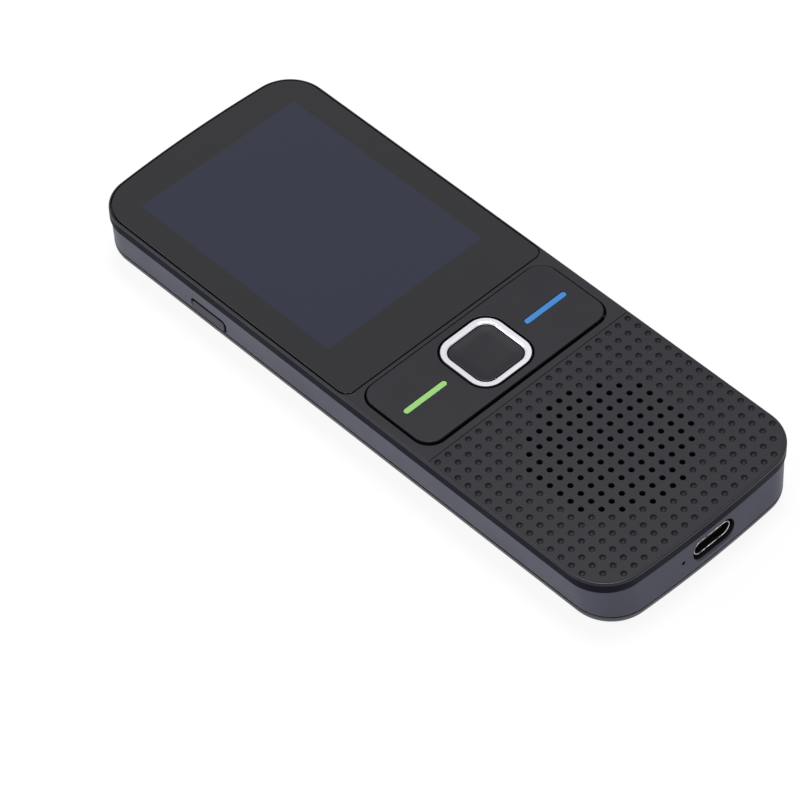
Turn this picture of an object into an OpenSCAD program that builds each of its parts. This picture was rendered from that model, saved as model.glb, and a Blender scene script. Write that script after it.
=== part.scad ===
// Handheld voice translator: a slim pocket device with a screen, a tilting two-way talk key,
// a ringed centre key, a perforated speaker panel, a side power key and a charging socket.
// Millimetres. X is the width, +Y points to the screen end, +Z points out of the screen.
// The origin is under the middle of the body, on the surface that it lies on.

/* [Body] */
// Width across the front rim
body_w = 50; // [48:0.5:56]
// Length along the front rim
body_l = 131.6; // [129:0.1:140]
// Thickness of the whole device
body_t = 11.8; // [11.6:0.1:14]
// Corner radius at the screen end
far_corner_r = 8; // [7:0.5:10]
// Corner radius at the socket end
usb_corner_r = 8.3; // [8:0.1:11]
// How far each end bows out at the middle
end_bow = 1.15; // [0.8:0.05:1.6]
// Roundness of the front rim's edge
rim_round = 0.4; // [0.3:0.05:0.5]

/* [Casing] */
// Height of the front frame's visible side
frame_side = 2.4; // [2.2:0.1:2.6]
// Height of the back cover's visible side
cover_side = 2.4; // [2.2:0.1:2.8]
// How far the side band is set in under the rim
band_step = 0.2; // [0.1:0.05:0.3]
// How far the long sides lean in towards the back
side_lean = 0.9; // [0.6:0.1:1.1]
// How far the two ends swell out towards the back
end_swell = 0.8; // [0.3:0.1:1]
// Thinnest wall of the side band
band_wall = 1.6; // [1.5:0.1:1.8]
// Thickness of the back cover's floor
floor_t = 1.4; // [1.2:0.1:1.5]
// Roundness of the back edge
back_round = 1.9; // [1.3:0.1:2.2]
// Height of the snap lip that rises inside the band
lip_h = 1.2; // [0.8:0.1:1.5]
// Thickness of the snap lip
lip_t = 0.8; // [0.6:0.1:1]
// Clearance between casing pieces that plug together
casing_gap = 0.05; // [0.03:0.01:0.1]

/* [Screen] */
// Thickness of the cover glass
glass_t = 0.8; // [0.7:0.1:1]
// Rim left beside the glass, gap included
glass_margin = 0.65; // [0.6:0.05:0.8]
// Open line round the glass
glass_gap = 0.28; // [0.15:0.01:0.35]
// Corner radius of the glass beside the keys
glass_corner_r = 1.8; // [1:0.1:2.5]
// Space between the display module and the band's inner face
display_side = 0.95; // [0.6:0.05:2]
// Thickness of the display module
display_t = 2.1; // [1.8:0.1:2.2]
// Thickness of the adhesive under the glass
glue_t = 0.1; // [0.05:0.05:0.2]
// Distance from the glass's lower edge up to the module's
display_foot = 1.7; // [1:0.1:4]
// Distance from the glass's upper edge down to the module's
display_head = 4.9; // [3:0.1:8]

/* [Keys] */
// Length of the key row, from the speaker panel to the glass
key_row_l = 20.69; // [20.5:0.01:21]
// Distance from the glass down to the key row's centre line
key_drop = 10.03; // [9.8:0.01:10.3]
// Rim left beside the rocker key
rocker_margin = 2.3; // [2:0.1:3]
// Length of the rocker key along the body
rocker_l = 17.6; // [17:0.1:17.8]
// Corner radius of the rocker key
rocker_r = 3.4; // [3:0.1:6]
// How far the keys stand up above the screen's glass
key_rise = 0.3; // [0.1:0.05:0.4]
// Open line round the rocker key
rocker_gap = 0.35; // [0.3:0.01:0.4]
// Extra open line on the rocker key's lower side
rocker_gap_low = 0.12; // [0:0.01:0.15]
// Half of the rocker key's tilt from side to side, degrees
rocker_tilt = 1; // [0.8:0.1:1]
// Diameter of the rocker key's pivot pins
pivot_d = 1; // [0.9:0.05:1.1]
// Radial play of a pivot pin in its bore
pivot_play = 0.05; // [0.03:0.01:0.08]
// Width of the centre key, ring included
ring_w = 14; // [13:0.1:14.4]
// Corner radius of the centre key's ring
ring_r = 4; // [3.5:0.1:5]
// Width of the bright ring's band
ring_band = 1.35; // [1.1:0.05:1.6]
// Open line round the centre key
ring_gap = 0.3; // [0.25:0.01:0.35]
// Travel of the centre key
key_travel = 0.3; // [0.2:0.05:0.3]
// Length of each colour bar
bar_l = 10.2; // [8:0.1:11]
// Width of each colour bar
bar_w = 1.2; // [1:0.1:1.5]
// Distance of each colour bar's centre from the rocker key's side
bar_side = 7.8; // [7.2:0.1:8.2]
// Thickness of the front skin round the keys
skin_t = 1.6; // [1.4:0.1:1.7]

/* [Speaker panel] */
// Length of the speaker panel, from the socket end
grille_l = 43.36; // [42.6:0.01:43.8]
// Thickness of the speaker panel
grille_t = 1.2; // [1.1:0.05:1.3]
// Spacing of the holes and dimples
grille_pitch = 2.48; // [2.46:0.01:2.55]
// Rim of the front frame left beside the panel
panel_rim = 0.5; // [0.4:0.05:0.7]
// Open line between the panel and the key surround
divide_gap = 0.14; // [0.08:0.01:0.2]
// Diameter of each sound hole
hole_d = 1.1; // [0.9:0.05:1.2]
// Depth of each blind dimple
dimple_depth = 0.16; // [0.1:0.02:0.3]
// Distance of the speaker's centre from the socket end
speaker_y = 23.5; // [23.2:0.1:23.8]
// Diameter of the speaker
speaker_d = 34; // [33:0.5:35]
// Depth of the speaker
speaker_t = 4.2; // [4:0.1:4.4]
// Rim of the speaker that the foam ring lies on
speaker_lip = 1.5; // [1.2:0.1:1.6]
// Thickness of the foam ring on the speaker
gasket_t = 0.4; // [0.3:0.1:0.6]

/* [Inside] */
// Thickness of the main board
board_t = 1; // [0.8:0.1:1]
// Height of the main board's underside above the floor
board_lift = 4.9; // [4.8:0.05:5]
// Play between the boards and the band
board_play = 0.5; // [0.4:0.1:0.8]
// Space between the battery and the band's inner face
battery_side = 4.3; // [4:0.1:8]
// Length of the battery
battery_l = 50; // [40:0.5:51]
// Thickness of the battery
battery_t = 4.3; // [3.8:0.1:4.4]
// Thickness of the battery's double-sided tape
tape_t = 0.2; // [0.1:0.05:0.3]
// Screw thread diameter
screw_d = 1.4; // [1.2:0.1:1.6]

/* [Socket and side key] */
// Width of the charging socket's shell
shell_w = 8.94; // [8.9:0.01:9]
// Height of the charging socket's shell
shell_h = 3.26; // [3.2:0.01:3.3]
// Depth of the charging socket's shell
shell_l = 7.35; // [7:0.05:7.5]
// Open line round the socket's shell
port_gap = 0.65; // [0.3:0.01:0.7]
// How far the shell sits back from the end face
port_recess = 0.5; // [0.5:0.05:1]
// Distance of the charging socket from the middle, towards the right side
port_x = 1.1; // [0:0.1:1.5]
// Distance of the microphone hole from the middle, towards the left side
mic_x = 6.4; // [6:0.1:8]
// Diameter of the microphone hole
mic_d = 0.8; // [0.6:0.1:1]
// Length of the power key
power_l = 8.6; // [7:0.1:10]
// Height of the power key
power_h = 2.6; // [2.4:0.1:2.8]
// Distance of the power key's centre from the screen end
power_y = 31; // [28:0.5:40]
// Travel of the power key
power_travel = 0.3; // [0.2:0.05:0.35]
// Open line round the power key
power_gap = 0.3; // [0.2:0.01:0.3]

/* [Camera] */
// Diameter of the camera's window ring
camera_d = 9; // [8:0.1:10]
// Distance of the camera from the screen end
camera_y = 9.5; // [9:0.5:11]
// Distance of the camera from the right side
camera_side = 12.5; // [12:0.5:14]
// Diameter of the light beside the camera
flash_d = 3.6; // [3:0.1:4]

/* [Hidden] */
$fn = 48;

// heights, from the surface that the device lies on
rim_top = body_t - 0.1;
key_top = body_t + key_rise;
band_top = body_t - frame_side;
glass_z = body_t - glass_t;
glue_z = glass_z - glue_t;
skin_z = rim_top - skin_t;
grille_z = rim_top - grille_t;
board_z = floor_t + board_lift;
board_top = board_z + board_t;
usb_z = (cover_side + band_top) / 2;
power_z = cover_side + 1.8;

// outlines
half_w = body_w / 2;
half_l = body_l / 2;
bow_r = (half_w * half_w + end_bow * end_bow) / (2 * end_bow);
slice_t = 0.2;
band_half_w = half_w - band_step;
band_half_l = half_l - band_step;
cover_half_w = band_half_w - side_lean;
cover_half_l = band_half_l + end_swell;
cavity_half_w = cover_half_w - band_wall;
cavity_half_l = band_half_l - band_wall - 0.2;
cavity_trim = band_wall + side_lean;
battery_w = 2 * (cavity_half_w - battery_side);
sound_d = speaker_d - 2 * speaker_lip;

// places along the body
divide_y = -half_l + grille_l;
glass_foot_y = divide_y + key_row_l;
key_y = glass_foot_y - key_drop;
speaker_c = -half_l + speaker_y;
power_c = half_l - power_y;
camera_c = [half_w - camera_side, half_l - camera_y];
flash_c = [camera_c[0] - camera_d / 2 - flash_d, half_l - camera_y];
display_w = 2 * (cavity_half_w - display_side);
display_y0 = glass_foot_y + display_foot;
display_l = half_l - glass_margin - display_head - display_y0;
board_y0 = speaker_c + speaker_d / 2 + 1.4 * board_t;
board_y1 = half_l - band_wall - 3 * board_t;

// ---------------------------------------------------------------- outlines and plain forms

// points along an arc
function arc_points(centre, r, from, to, steps) =
    [for (i = [0:steps]) let (a = from + (to - from) * i / steps) centre + r * [cos(a), sin(a)]];

// one end of the body: two corner arcs joined by the bow, all tangent
function corner_centre_y(hw, end, r) = end - bow_r + sqrt(pow(bow_r - r, 2) - pow(hw - r, 2));
function end_points(hw, end, r, steps = 12) =
    let (y = corner_centre_y(hw, end, r), a = atan2(y - end + bow_r, hw - r))
    concat(arc_points([hw - r, y], r, 0, a, steps + 2),
        [for (i = [1:steps - 1]) let (b = a + (180 - 2 * a) * i / steps)
            [bow_r * cos(b), end - bow_r + bow_r * sin(b)]],
        arc_points([r - hw, y], r, 180 - a, 180, steps + 2));

// body outline at a given half width and half length, with both corner radii trimmed
module body_outline(hw, hl, trim = 0)
    polygon(concat(end_points(hw, hl, far_corner_r - trim),
        [for (p = end_points(hw, hl, usb_corner_r - trim)) -p]));

module body_prism(hw, hl, z0, z1, trim = 0)
    translate([0, 0, z0]) linear_extrude(z1 - z0) body_outline(hw, hl, trim);

// a slice of an outline that is set in all round by one distance
module inset_prism(inset, z0, z1) body_prism(half_w - inset, half_l - inset, z0, z1, inset);

// rectangle with round corners, centred
module rounded(w, l, r) {
    square([w - 2 * r, l], center = true);
    square([w, l - 2 * r], center = true);
    for (sx = [-1, 1], sy = [-1, 1])
        translate([sx * (w / 2 - r), sy * (l / 2 - r)]) circle(r);
}

module rounded_block(w, l, r, z0, z1, at = [0, 0])
    translate([at[0], at[1], z0]) linear_extrude(z1 - z0) rounded(w, l, r);

// slot with round ends along its first direction
module pill(w, h) {
    square([w - h, h], center = true);
    for (s = [-1, 1]) translate([s * (w - h) / 2, 0]) circle(h / 2);
}

module block(x0, x1, y0, y1, z0, z1)
    translate([x0, y0, z0]) cube([x1 - x0, y1 - y0, z1 - z0]);

module disc(at, d, z0, z1) translate([at[0], at[1], z0]) cylinder(h = z1 - z0, d = d);

module tube(at, outer, inner, z0, z1) difference() {
    disc(at, outer, z0, z1);
    disc(at, inner, z0 - 1, z1 + 1);
}

// ---------------------------------------------------------------- back cover

lip_half_w = cavity_half_w - casing_gap;
lip_half_l = cavity_half_l - casing_gap;
lip_top = cover_side + lip_h;
screw_bore = screw_d + 0.04;
post_d = 3;
usb_board_top = usb_z - shell_h / 2;
usb_board_z = usb_board_top - board_t;
usb_board_y0 = -lip_half_l + lip_t + 0.5;
usb_board_l = shell_l + 4;
usb_board_w = 3 * shell_w;
usb_posts = [for (s = [-1, 1]) [s * (usb_board_w / 2 - post_d), usb_board_y0 + usb_board_l - 2]];

module back_cover() color("#2c2c2f") {
    difference() {
        union() {
            cover_shell();
            body_prism(lip_half_w, lip_half_l, floor_t, lip_top, cavity_trim);
        }
        body_prism(lip_half_w - lip_t, lip_half_l - lip_t, floor_t, lip_top + 1, cavity_trim + lip_t);
        block(-cavity_half_w - 1, -cavity_half_w + 2, power_c - power_l / 2 - 1.5,
            power_c + power_l / 2 + 1.5, cover_side, lip_top + 1);
        disc(camera_c, camera_d + 2 * casing_gap, -1, floor_t + 1);
        disc(flash_c, flash_d + 2 * casing_gap, -1, floor_t + 1);
    }
    for (at = usb_posts) difference() {
        disc(at, post_d, floor_t - 0.1, usb_board_z);
        disc(at, screw_bore, floor_t + 0.4, usb_board_z + 1);
    }
}

// outside of the cover: a straight edge above a quarter round
module cover_shell() hull() {
    body_prism(cover_half_w, cover_half_l, back_round, cover_side);
    for (a = [18:18:90]) let (inset = back_round * (1 - cos(a)), z = back_round * (1 - sin(a)))
        body_prism(cover_half_w - inset, cover_half_l - inset, z, z + slice_t, inset);
}

// ---------------------------------------------------------------- side band

boss_d = 4.4;
boss_x = cavity_half_w - 1.5;
board_bosses = [for (s = [-1, 1], y = [half_l - 12, key_y - 9.5]) [s * boss_x, y]];
boss_z0 = lip_top + 0.2;
front_boss_z = band_top - 2.2;
ear_d = 5.8;
ear_t = 1.1;
ear_z = front_boss_z - 0.1 - ear_t;
front_bosses = [for (s = [-1, 1]) [s * (cavity_half_w - 2.6), -half_l + 8.5]];

module middle_band() color("#5b5b66") difference() {
    union() {
        difference() {
            hull() {
                body_prism(cover_half_w, cover_half_l, cover_side, cover_side + slice_t);
                body_prism(band_half_w, band_half_l, band_top - slice_t, band_top);
            }
            body_prism(cavity_half_w, cavity_half_l, cover_side - 1, band_top + 1, cavity_trim);
        }
        intersection() {
            union() {
                for (at = board_bosses) disc(at, boss_d, boss_z0, board_z);
                for (at = front_bosses) disc(at, ear_d, ear_z, ear_z + ear_t);
            }
            body_prism(cavity_half_w + 0.4, cavity_half_l + 0.4, 0, band_top, cavity_trim - 0.4);
        }
    }
    for (at = board_bosses) disc(at, screw_bore, boss_z0 + 0.4, board_z + 1);
    for (at = front_bosses) disc(at, screw_bore, front_boss_z - 2, front_boss_z + 1);
    socket_hole();
    mic_hole();
    power_hole();
}

module socket_hole() translate([port_x, -cavity_half_l + 2, usb_z]) rotate([90, 0, 0])
    linear_extrude(8) pill(shell_w + 2 * port_gap, shell_h + 2 * port_gap);

module mic_hole() translate([-mic_x, -cavity_half_l + 2, usb_z]) rotate([90, 0, 0])
    cylinder(h = 8, d = mic_d, $fn = 24);

module power_hole() translate([-cavity_half_w + 1, power_c, power_z]) side_pill(8, power_gap);

// the power key's outline, pushed out towards -X by a depth
module side_pill(depth, grow = 0) rotate([0, -90, 0]) rotate([0, 0, 90])
    linear_extrude(depth) pill(power_l + 2 * grow, power_h + 2 * grow);

// ---------------------------------------------------------------- front frame

rocker_w = body_w - 2 * rocker_margin;
bar_x = rocker_w / 2 - bar_side;
hole_y0 = key_y - rocker_l / 2 - rocker_gap - rocker_gap_low;
hole_y1 = key_y + rocker_l / 2 + rocker_gap;
pivot_z = skin_z - 0.05;
pivot_bore = pivot_d + 2 * pivot_play;
lug_w = 3.2;
lug_l = 1;
lug_foot = pivot_z - 1.1;
skirt_t = 1;
skirt_h = 1.2;
well_half_w = half_w - 1.2;
well_y0 = divide_y - 1;
well_y1 = glass_foot_y + 1;
mesh_d = sound_d + 1.4 * grille_t;
mesh_room = 0.15;
display_gap = 0.2;

module front_frame() color("#303033") difference() {
    union() {
        difference() {
            frame_shell();
            block(-well_half_w, well_half_w, well_y0, well_y1, band_top - 1, skin_z);
            disc([0, speaker_c], sound_d, 0, body_t + 1);
            disc([0, speaker_c], mesh_d + 0.2, grille_z - mesh_room, body_t + 1);
        }
        skirt();
        for (y = [hole_y1, hole_y0 - lug_l])
            block(-lug_w / 2, lug_w / 2, y, y + lug_l, lug_foot, skin_z + 0.3);
        for (at = front_bosses) disc(at, boss_d - 0.4, front_boss_z, band_top + 0.2);
    }
    translate([0, 0, glue_z]) linear_extrude(3) glass_outline(glass_gap);
    block(-display_w / 2 - display_gap, display_w / 2 + display_gap, display_y0 - display_gap,
        display_y0 + display_l + display_gap, band_top - 2, body_t + 1);
    rocker_opening();
    intersection() {
        inset_prism(panel_rim, grille_z, body_t + 1);
        block(-body_w, body_w, -body_l, divide_y, 0, body_t + 2);
    }
    for (y = [hole_y1 + lug_l + 0.2, hole_y0 + 0.5]) translate([0, y, pivot_z]) rotate([90, 0, 0])
        cylinder(h = lug_l + 0.7, d = pivot_bore, $fn = 32);
    for (at = front_bosses) disc(at, screw_bore, front_boss_z - 1, band_top + 0.6);
}

// outside of the frame, with the rim's edge rounded
module frame_shell() hull() {
    inset_prism(0, band_top, rim_top - rim_round);
    inset_prism(rim_round * 0.3, rim_top - rim_round, rim_top - rim_round / 2);
    inset_prism(rim_round, rim_top - rim_round / 2, rim_top);
}

// ring that plugs into the band, left open beside the keys
module skirt() difference() {
    body_prism(lip_half_w, lip_half_l, band_top - skirt_h, band_top + 0.2, cavity_trim);
    body_prism(lip_half_w - skirt_t, lip_half_l - skirt_t, band_top - skirt_h - 1, band_top + 1,
        cavity_trim + skirt_t);
    block(-half_w, half_w, well_y0, well_y1, band_top - skirt_h - 1, band_top + 1);
}

module rocker_opening() rounded_block(rocker_w + 2 * rocker_gap, hole_y1 - hole_y0, rocker_r + rocker_gap,
    band_top - 3, body_t + 1, [0, (hole_y0 + hole_y1) / 2]);

// glass outline: the body's corners at the screen end, small corners beside the keys
module glass_outline(grow) {
    hw = half_w - glass_margin + grow;
    foot = glass_foot_y - grow;
    r = glass_corner_r + grow;
    intersection() {
        body_outline(hw, half_l - glass_margin + grow, glass_margin - grow);
        translate([-hw, foot + r]) square([2 * hw, body_l]);
    }
    translate([-hw + r, foot]) square([2 * (hw - r), r + 1]);
    for (s = [-1, 1]) translate([s * (hw - r), foot + r]) circle(r);
}

// ---------------------------------------------------------------- speaker panel and speaker

grille_n = 10;
panel_top_row = divide_y - 1;

// a cell of the square grid is a sound hole inside the oval, and a blind dimple outside it
function is_hole(u, v) = pow(v / 5.8, 2) + pow(u / 6.2, 2) <= 1;
function fits_panel(x, y) = let (m = panel_rim + 0.75, hw = half_w - m, r = usb_corner_r - m,
        cy = -corner_centre_y(hw, half_l - m, r), cx = hw - r)
    abs(x) <= hw && y < panel_top_row && (y > cy || abs(x) < cx || norm([abs(x) - cx, y - cy]) <= r)
    && y > -half_l + m + x * x / (2 * bow_r);

module grille_panel() color("#303033") difference() {
    intersection() {
        inset_prism(panel_rim + casing_gap, grille_z, rim_top);
        block(-half_w, half_w, -body_l, divide_y - divide_gap, 0, body_t);
    }
    for (i = [-grille_n:grille_n - 1], j = [-grille_n:grille_n - 1])
        let (u = i + 0.5, v = j + 0.5, x = u * grille_pitch, y = speaker_c + v * grille_pitch)
        if (is_hole(u, v)) translate([x, y, grille_z - 1]) cylinder(h = grille_t + 2, d = hole_d, $fn = 16);
        else if (fits_panel(x, y)) translate([x, y, rim_top - dimple_depth])
            cylinder(h = 1, d = hole_d, $fn = 16);
}

module speaker_mesh() color("#141416")
    disc([0, speaker_c], mesh_d, grille_z - mesh_room + 0.02, grille_z - 0.02);

gasket_z = band_top - gasket_t;
speaker_z = gasket_z - speaker_t;
flange_t = 1;
paper_t = 0.3;
magnet_r = speaker_d * 0.26;
basket_r = speaker_d * 0.39;
cone_r = sound_d / 2 - 0.1;
cone_seat = speaker_t - 0.4;

module speaker_gasket() color("#1b1b1d")
    tube([0, speaker_c], speaker_d, sound_d + 2 * paper_t, gasket_z, band_top);

// a flat flange, a basket that narrows to the magnet pot, and a ledge for the cone
module speaker_basket() color("#8a8c90") translate([0, speaker_c, speaker_z]) rotate_extrude($fn = 96)
    polygon([[0, 0], [magnet_r, 0], [magnet_r, speaker_t / 3], [basket_r, speaker_t * 0.55],
        [basket_r, speaker_t - flange_t], [speaker_d / 2, speaker_t - flange_t], [speaker_d / 2, speaker_t],
        [cone_r, speaker_t], [cone_r, cone_seat], [basket_r - 2 * paper_t, cone_seat],
        [basket_r - 4 * paper_t, speaker_t * 2 / 3], [magnet_r, speaker_t * 0.45], [0, speaker_t * 0.45]]);

// paper cone with its flat surround and dust cap, one thin skin on the ledge
module speaker_cone() color("#2a2a2e") translate([0, speaker_c, speaker_z + cone_seat + 0.03])
    rotate_extrude($fn = 96) polygon([[0, -speaker_t / 6], [magnet_r / 2, -speaker_t / 3],
        [basket_r - 5 * paper_t, 0], [cone_r - 0.04, 0], [cone_r - 0.04, paper_t],
        [basket_r - 5 * paper_t - 0.1, paper_t], [magnet_r / 2 + paper_t, paper_t - speaker_t / 3],
        [0, paper_t - speaker_t / 6]]);

// ---------------------------------------------------------------- screen

module screen_glass() color("#2b2c30") translate([0, 0, glass_z]) linear_extrude(glass_t) glass_outline(0);

module glass_adhesive() color("#101012") translate([0, 0, glue_z]) linear_extrude(glue_t)
    glass_outline(-0.4);

module display_module() color("#3c3e4b")
    block(-display_w / 2, display_w / 2, display_y0, display_y0 + display_l, glue_z - display_t, glue_z);

// flat cable from the display's foot to a connector on the main board
ribbon_w = display_w * 3 / 8;
plug_h = 0.8;

module display_ribbon() color("#9a6a2a") {
    block(-ribbon_w / 2, ribbon_w / 2, display_y0 + 2, display_y0 + 2.15, board_top + plug_h - 0.1,
        glue_z - display_t);
    block(-ribbon_w / 2 - 1, ribbon_w / 2 + 1, display_y0 + 1, display_y0 + 4,
        board_top, board_top + plug_h);
}

// ---------------------------------------------------------------- keys

plate_z = band_top + 0.5;
retainer_z = plate_z - 0.8;
retainer_y = rocker_l / 2 - 0.9;
retainer_reach = 0.7;
stud_z = plate_z - 0.65;
stud_d = 3;

module rocker_key() color("#38383b") difference() {
    union() {
        rounded_block(rocker_w, rocker_l, rocker_r, plate_z, key_top, [0, key_y]);
        for (s = [-1, 1]) {
            disc([s * bar_x, key_y], stud_d, stud_z, plate_z + 0.1);
            for (t = [-1, 1]) retainer(s, t);
            translate([0, key_y + s * rocker_l / 2, 0]) pivot_pin(s);
        }
    }
    rounded_block(ring_w + 2 * ring_gap, ring_w + 2 * ring_gap, ring_r + ring_gap, 0, key_top + 1,
        [0, key_y]);
    for (s = [-1, 1]) bar_slot(s);
}

// low rail that keeps an edge of the rocker key under the front skin
module retainer(side, edge) {
    y0 = retainer_y;
    y1 = rocker_l / 2 + retainer_reach;
    x0 = lug_w / 2 + 0.6;
    translate([0, key_y, 0]) mirror([0, edge < 0 ? 1 : 0, 0]) mirror([side < 0 ? 1 : 0, 0, 0]) {
        block(x0, rocker_w / 2 - 3.4, y0, y1, retainer_z, retainer_z + 0.5);
        block(x0, rocker_w / 2 - 3.4, y0, rocker_l / 2 - 0.1, retainer_z, plate_z + 0.1);
    }
}

// pin on one edge of the rocker key, with the pad that carries it
module pivot_pin(side) mirror([0, side < 0 ? 1 : 0, 0]) {
    reach = rocker_gap + lug_l - 0.1 + (side < 0 ? rocker_gap_low : 0);
    block(-lug_w / 2, lug_w / 2, -0.9, 0, pivot_z - pivot_d / 2, plate_z + 0.1);
    translate([0, reach, pivot_z]) rotate([90, 0, 0])
        cylinder(h = reach + 0.5, d = pivot_d, $fn = 32);
}

bar_depth = 0.5;
module bar_slot(side) translate([side * bar_x, key_y, key_top - bar_depth])
    linear_extrude(bar_depth + 1) pill(bar_l, bar_w);

module colour_bar(side) translate([side * bar_x, key_y, key_top - bar_depth])
    linear_extrude(bar_depth - 0.02) pill(bar_l, bar_w);

module green_bar() color("#8cd764") colour_bar(-1);
module blue_bar() color("#3c8cd7") colour_bar(1);

flange_z = plate_z - 0.7;
flange_top = plate_z - 0.3;
ring_z = rim_top - 1.3;
cap_w = ring_w - 2 * ring_band;
cap_r = ring_r - ring_band;

module centre_key() color("#38383b") {
    rounded_block(ring_w + 1.2, ring_w + 1.2, ring_r + 0.6, flange_z, flange_top, [0, key_y]);
    rounded_block(ring_w, ring_w, ring_r, flange_top - 0.1, ring_z, [0, key_y]);
    rounded_block(cap_w, cap_w, cap_r, ring_z - 0.1, key_top - 0.1, [0, key_y]);
}

module centre_key_ring() color("#d8d8dc") difference() {
    rounded_block(ring_w, ring_w, ring_r, ring_z, key_top, [0, key_y]);
    rounded_block(cap_w, cap_w, cap_r, 0, key_top + 1, [0, key_y]);
}

dome_d = 5;
dome_h = 0.5;
sheet_l = 12;
membrane_z = flange_z - key_travel - 0.5;
membrane_t = 0.4;
dome_places = [for (x = [-bar_x, 0, bar_x]) [x, key_y]];

// silicone sheet under the keys, with a nub over each dome and a foot at each end
module key_membrane() color("#4a4a4e") {
    rounded_block(2 * bar_x + 1.8 * dome_d, sheet_l, 2, membrane_z, membrane_z + membrane_t, [0, key_y]);
    for (at = dome_places) disc(at, dome_d / 2, board_top + dome_h + 0.05, membrane_z + 0.1);
    for (s = [-1, 1]) disc([s * (bar_x + 2.9), key_y - sheet_l / 3], 1.6, board_top, membrane_z + 0.1);
}

// snap domes on the main board, one under each key
module key_domes() color("#c8c8cc") for (at = dome_places) translate([at[0], at[1], board_top])
    cylinder(h = dome_h, d1 = dome_d, d2 = dome_d * 0.7);

// ---------------------------------------------------------------- electronics

module main_board() color("#1f4a32") difference() {
    rounded_block(2 * (cavity_half_w - board_play), board_y1 - board_y0, 5, board_z, board_top,
        [0, (board_y0 + board_y1) / 2]);
    for (at = board_bosses) disc(at, screw_d + 0.4, board_z - 1, board_top + 1);
}

shield_w = battery_w * 2 / 3;
shield_l = battery_l / 2;

module processor_shield() color("#b9bbc0")
    rounded_block(shield_w, shield_l, board_t, board_top, glue_z - display_t - 0.2,
        [shield_w / 12, display_y0 + display_l / 2]);

battery_z = floor_t + tape_t;
battery_y0 = camera_c[1] - camera_d / 2 - 1.2 - battery_l;

module battery() color("#9ea2a8")
    rounded_block(battery_w, battery_l, 1.5, battery_z, battery_z + battery_t,
        [0, battery_y0 + battery_l / 2]);

module battery_tape() color("#d8d4c8")
    rounded_block(battery_w - 8, battery_l - 10, 1, floor_t, battery_z, [0, battery_y0 + battery_l / 2]);

// two short wires from the battery to a plug under the main board
wire_d = 0.9;
wire_l = 5;
plug_w = 4 * wire_d;
plug_z = battery_z + battery_t - 2 * wire_d;

module battery_lead() color("#a02828") {
    for (s = [-1, 1]) translate([s * wire_d, battery_y0, plug_z + wire_d]) rotate([90, 0, 0])
        cylinder(h = wire_l + 0.2, d = wire_d, $fn = 16);
    block(-plug_w / 2, plug_w / 2, battery_y0 - wire_l - 3, battery_y0 - wire_l, plug_z, board_z);
}

module usb_board() color("#1f4a32") difference() {
    block(-usb_board_w / 2, usb_board_w / 2, usb_board_y0, usb_board_y0 + usb_board_l,
        usb_board_z, usb_board_top);
    for (at = usb_posts) disc(at, screw_d + 0.4, 0, usb_board_top + 1);
}

shell_y = -(cover_half_l + band_half_l) / 2 + port_recess;
shell_wall = 0.3;

module usb_shell() color("#c4c6ca") translate([port_x, shell_y + shell_l, usb_z]) rotate([90, 0, 0])
    difference() {
        linear_extrude(shell_l) pill(shell_w, shell_h);
        translate([0, 0, 2 * shell_wall]) linear_extrude(shell_l)
            pill(shell_w - 2 * shell_wall, shell_h - 2 * shell_wall);
    }

module usb_tongue() color("#17171a")
    block(port_x - 3.3, port_x + 3.3, shell_y + 0.7, shell_y + shell_l - 0.6, usb_z - 0.35, usb_z + 0.35);

mic_r = usb_z - usb_board_top;
boot_y = -cavity_half_l + mic_x * mic_x / (2 * bow_r) + 0.05;
module microphone() color("#9a9ca0") translate([-mic_x, boot_y + 2.35, usb_z]) rotate([90, 0, 0])
    cylinder(h = 1.5, r = mic_r - 0.03);

module microphone_boot() color("#151517") translate([-mic_x, boot_y + 0.82, usb_z]) rotate([90, 0, 0])
    difference() {
        cylinder(h = 0.8, r = mic_r - 0.03);
        translate([0, 0, -1]) cylinder(h = 3, d = mic_d, $fn = 24);
    }

// flat cable between the two boards, passing under the speaker
module board_ribbon() color("#9a6a2a") {
    z = usb_board_z - 0.2;
    y0 = usb_board_y0 + usb_board_l - 2;
    y1 = board_y0 + 2.5;
    block(-5, 5, y0, y1, z, z + 0.15);
    block(-5, 5, y1 - 0.15, y1, z, board_z);
}

// ---------------------------------------------------------------- power key and switch

power_x = cover_half_w + side_lean * (power_z - cover_side) / (band_top - cover_side);
power_flange_t = 0.6;

module power_key() color("#4c4c56") {
    translate([-cavity_half_w + casing_gap + 0.1, power_c, power_z])
        side_pill(power_x - cavity_half_w + 0.4);
    block(-cavity_half_w + casing_gap, -cavity_half_w + casing_gap + power_flange_t,
        power_c - power_l / 2 - 0.8, power_c + power_l / 2 + 0.8,
        power_z - power_h / 2 + 0.2, power_z + power_h / 2 - 0.1);
}

switch_x = -cavity_half_w + casing_gap + power_flange_t + power_travel + 0.05;
module power_switch() color("#2a2a2c") {
    block(switch_x + 0.4, switch_x + 2.6, power_c - 2.4, power_c + 2.4, power_z - 0.9, board_z);
    block(switch_x, switch_x + 0.5, power_c - 1, power_c + 1, power_z - 0.6, power_z + 0.6);
}

// ---------------------------------------------------------------- camera

ring_wall = 0.8;
window_t = 0.7;

module camera_ring() color("#6b6b74") {
    tube(camera_c, camera_d, camera_d - 2 * ring_wall, 0.1, floor_t + 0.1);
    tube(camera_c, camera_d + 2, camera_d - 2 * ring_wall, floor_t, floor_t + 0.4);
}

module camera_window() color("#202228") disc(camera_c, camera_d - 2 * ring_wall, 0.3, 0.3 + window_t);

module camera_module() color("#1a1a1c") {
    disc(camera_c, camera_d * 2 / 3, 0.3 + window_t + 0.1, floor_t + 0.6);
    rounded_block(camera_d - 0.5, camera_d - 0.5, 0.6, floor_t + 0.5, board_z - 0.05, camera_c);
}

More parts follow.
